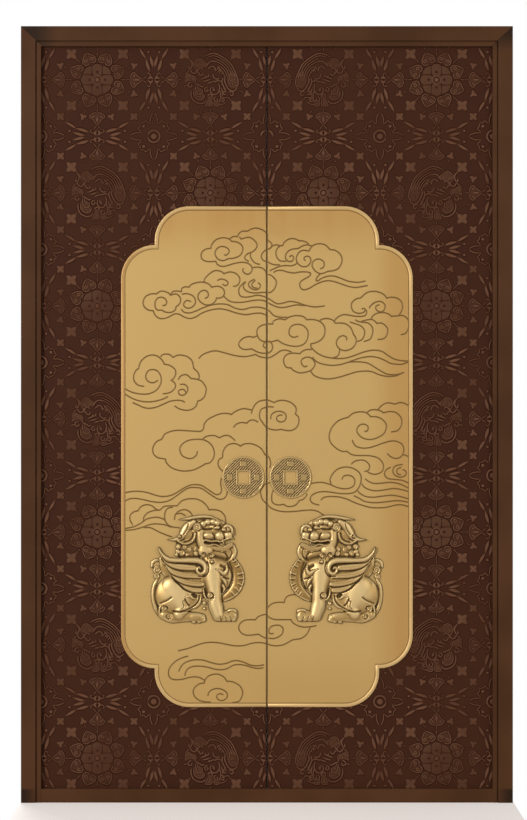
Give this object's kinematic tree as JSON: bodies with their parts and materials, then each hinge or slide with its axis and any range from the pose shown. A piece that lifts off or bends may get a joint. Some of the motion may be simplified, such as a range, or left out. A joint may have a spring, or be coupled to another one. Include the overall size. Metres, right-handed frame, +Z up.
{
  "type": "aluminium entrance door",
  "caption": "Double-leaf cast-aluminium entrance door in its frame, with brocade relief, a gold cartouche, coins and guardian beasts; both leaves open inwards.",
  "frame": {"origin": "middle of the threshold's underside, half way through the frame's depth", "axes": "+Z up, +X to the right seen from the street, +Y into the room (the street side faces -Y)"},
  "size_m": [1.52, 0.15, 2.4],
  "materials": {
    "frame_paint": "dark brown powder coat, satin, fine texture",
    "leaf_paint": "dark red-brown powder coat on cast relief",
    "gold_paint": "satin champagne gold with airbrushed darker edges",
    "antique_gold": "antique gold, dark in the recesses, rubbed bright on the crests",
    "seal_rubber": "matt black EPDM",
    "hinge_steel": "satin bronze plated steel",
    "lock_steel": "brushed stainless steel",
    "lever_metal": "satin antique bronze",
    "profile_metal": "mill finish",
    "core_foam": "rigid foam"
  },
  "bodies": {
    "frame": {"left_jamb": "frame_paint", "right_jamb": "frame_paint", "head_jamb": "frame_paint", "threshold": "frame_paint", "left_corner_cleat": "profile_metal", "right_corner_cleat": "profile_metal", "frame_seal": "seal_rubber", "head_keeper": "lock_steel", "sill_keeper": "lock_steel", "left_hinge_frame_wings": "hinge_steel", "right_hinge_frame_wings": "hinge_steel", "left_hinge_pins": "hinge_steel", "right_hinge_pins": "hinge_steel"},
    "left_leaf": {"left_field_panel": "leaf_paint", "left_cartouche": "gold_paint", "left_beast": "antique_gold", "left_coin": "antique_gold", "left_back_skin": "leaf_paint", "left_hinge_stile": "leaf_paint", "left_meeting_stile": "leaf_paint", "left_top_rail": "profile_metal", "left_bottom_rail": "profile_metal", "left_core": "core_foam", "left_bottom_seal": "seal_rubber", "left_hinge_leaf_wings": "hinge_steel", "meeting_seal": "seal_rubber", "lock_case": "lock_steel", "lock_faceplate": "lock_steel", "inside_backplate": "lever_metal"},
    "right_leaf": {"right_field_panel": "leaf_paint", "right_cartouche": "gold_paint", "right_beast": "antique_gold", "right_coin": "antique_gold", "right_back_skin": "leaf_paint", "right_hinge_stile": "leaf_paint", "right_meeting_stile": "leaf_paint", "right_top_rail": "profile_metal", "right_bottom_rail": "profile_metal", "right_core": "core_foam", "right_bottom_seal": "seal_rubber", "right_hinge_leaf_wings": "hinge_steel", "strike_plate": "lock_steel", "top_bolt_case": "lock_steel", "bottom_bolt_case": "lock_steel"},
    "latch": {"latch_bolt": "lock_steel"},
    "dead_bolts": {"dead_bolts": "lock_steel"},
    "lever": {"inside_lever": "lever_metal", "lever_spindle": "lock_steel", "lock_hub": "lock_steel"},
    "thumb_turn": {"thumb_turn": "lever_metal"},
    "top_bolt": {"top_flush_bolt": "lock_steel"},
    "bottom_bolt": {"bottom_flush_bolt": "lock_steel"}
  },
  "joints": [
    {"name": "left_leaf_swing", "type": "hinge", "parent": "frame", "child": "left_leaf", "pos_m": [-0.711, 0.0545, 0], "axis": [0, 0, 1], "range_deg": [0, 110]},
    {"name": "right_leaf_swing", "type": "hinge", "parent": "frame", "child": "right_leaf", "pos_m": [0.711, 0.0545, 0], "axis": [0, 0, -1], "range_deg": [0, 110]},
    {"name": "latch_slide", "type": "slide", "parent": "left_leaf", "child": "latch", "axis": [1, 0, 0], "range_m": [0, 0.012]},
    {"name": "dead_bolt_slide", "type": "slide", "parent": "left_leaf", "child": "dead_bolts", "axis": [1, 0, 0], "range_m": [0, 0.02]},
    {"name": "thumb_turn_turn", "type": "hinge", "parent": "left_leaf", "child": "thumb_turn", "pos_m": [-0.06267, 0.0465, 0.933], "axis": [0, 1, 0], "range_deg": [0, 90]},
    {"name": "lever_turn", "type": "hinge", "parent": "left_leaf", "child": "lever", "pos_m": [-0.06267, 0.0465, 1.005], "axis": [0, -1, 0], "range_deg": [0, 45], "stiffness_Nm_per_rad": 1.2, "springref_deg": -20.05},
    {"name": "top_bolt_slide", "type": "slide", "parent": "right_leaf", "child": "top_bolt", "axis": [0, 0, 1], "range_m": [0, 0.02]},
    {"name": "bottom_bolt_slide", "type": "slide", "parent": "right_leaf", "child": "bottom_bolt", "axis": [0, 0, -1], "range_m": [0, 0.02]}
  ],
  "couplings": [
    {"joint": "thumb_turn_turn", "follows": "dead_bolt_slide", "rad_per_m": 78.5}
  ]
}
